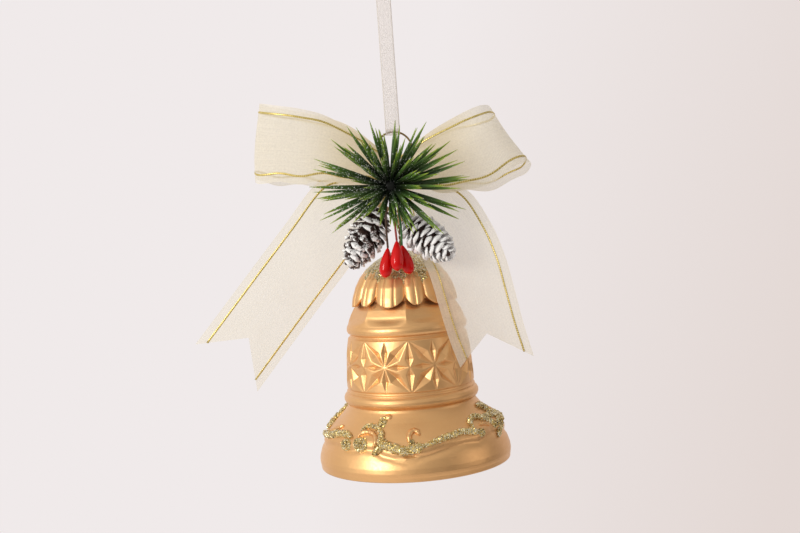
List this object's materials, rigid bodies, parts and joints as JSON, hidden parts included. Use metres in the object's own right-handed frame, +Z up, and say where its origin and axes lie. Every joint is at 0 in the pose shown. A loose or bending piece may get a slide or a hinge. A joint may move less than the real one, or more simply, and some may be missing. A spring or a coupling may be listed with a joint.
{
  "type": "christmas bell ornament",
  "caption": "Gold bell ornament with a star band and a hidden clapper, hung on a wire ring and ribbon loop, dressed with a sheer bow, pine sprig, cones and berries.",
  "frame": {"origin": "inside top of the hanging ribbon loop, where it rests on its hook", "axes": "+Z up, -Y towards the front of the ornament where the sprig is, +X to the right seen from the front"},
  "size_m": [0.1438, 0.08, 0.2027],
  "materials": {
    "hanger_organza": "sheer",
    "bow_organza": "sheer, gold threads",
    "aged_brass": "aged",
    "clapper_brass": "polished",
    "gold_plastic": "satin gold",
    "gold_glitter": "glitter",
    "pine_green": "matte",
    "cone_brown": "matte, painted white on the scales",
    "cone_cut": "matte",
    "stem_wrap": "matte",
    "berry_red": "gloss"
  },
  "bodies": {
    "hanger": {"hanger_ribbon": "hanger_organza"},
    "ribbon_turn": {"ribbon_wrap": "hanger_organza"},
    "ornament": {"hanger_wire": "aged_brass", "bell_shell": "gold_plastic", "petal_crown": "gold_glitter", "skirt_vine": "gold_glitter", "crown_washer": "aged_brass", "bow_centre": "bow_organza", "binding_wire": "aged_brass", "bow_loop_left": "bow_organza", "bow_loop_right": "bow_organza", "bow_tail_left": "bow_organza", "bow_tail_right": "bow_organza", "sprig_stem": "pine_green", "pine_needles": "pine_green", "pine_cone_left": "cone_brown", "pine_cone_right": "cone_brown", "cone_cap_left": "cone_cut", "cone_cap_right": "cone_cut", "cone_wire_left": "stem_wrap", "cone_wire_right": "stem_wrap", "berry_left": "berry_red", "berry_centre": "berry_red", "berry_right": "berry_red", "berry_stem_left": "stem_wrap", "berry_stem_centre": "stem_wrap", "berry_stem_right": "stem_wrap"},
    "link": {"clapper_link": "aged_brass"},
    "clapper": {"clapper_rod": "aged_brass", "clapper_ball": "clapper_brass"}
  },
  "joints": [
    {"name": "fore_aft_swing", "type": "hinge", "parent": "hanger", "child": "ribbon_turn", "pos_m": [0, 0, -0.0654], "axis": [1, 0, 0], "range_deg": [-35, 35]},
    {"name": "side_swing", "type": "hinge", "parent": "ribbon_turn", "child": "ornament", "pos_m": [0, 0, -0.0729], "axis": [0, 1, 0], "range_deg": [-25, 25]},
    {"name": "link_swing", "type": "hinge", "parent": "ornament", "child": "link", "pos_m": [0, 0, -0.1256], "axis": [1, 0, 0], "range_deg": [-17, 17]},
    {"name": "clapper_swing", "type": "hinge", "parent": "link", "child": "clapper", "pos_m": [0, 0, -0.13695], "axis": [0, 1, 0], "range_deg": [-17, 17]}
  ]
}
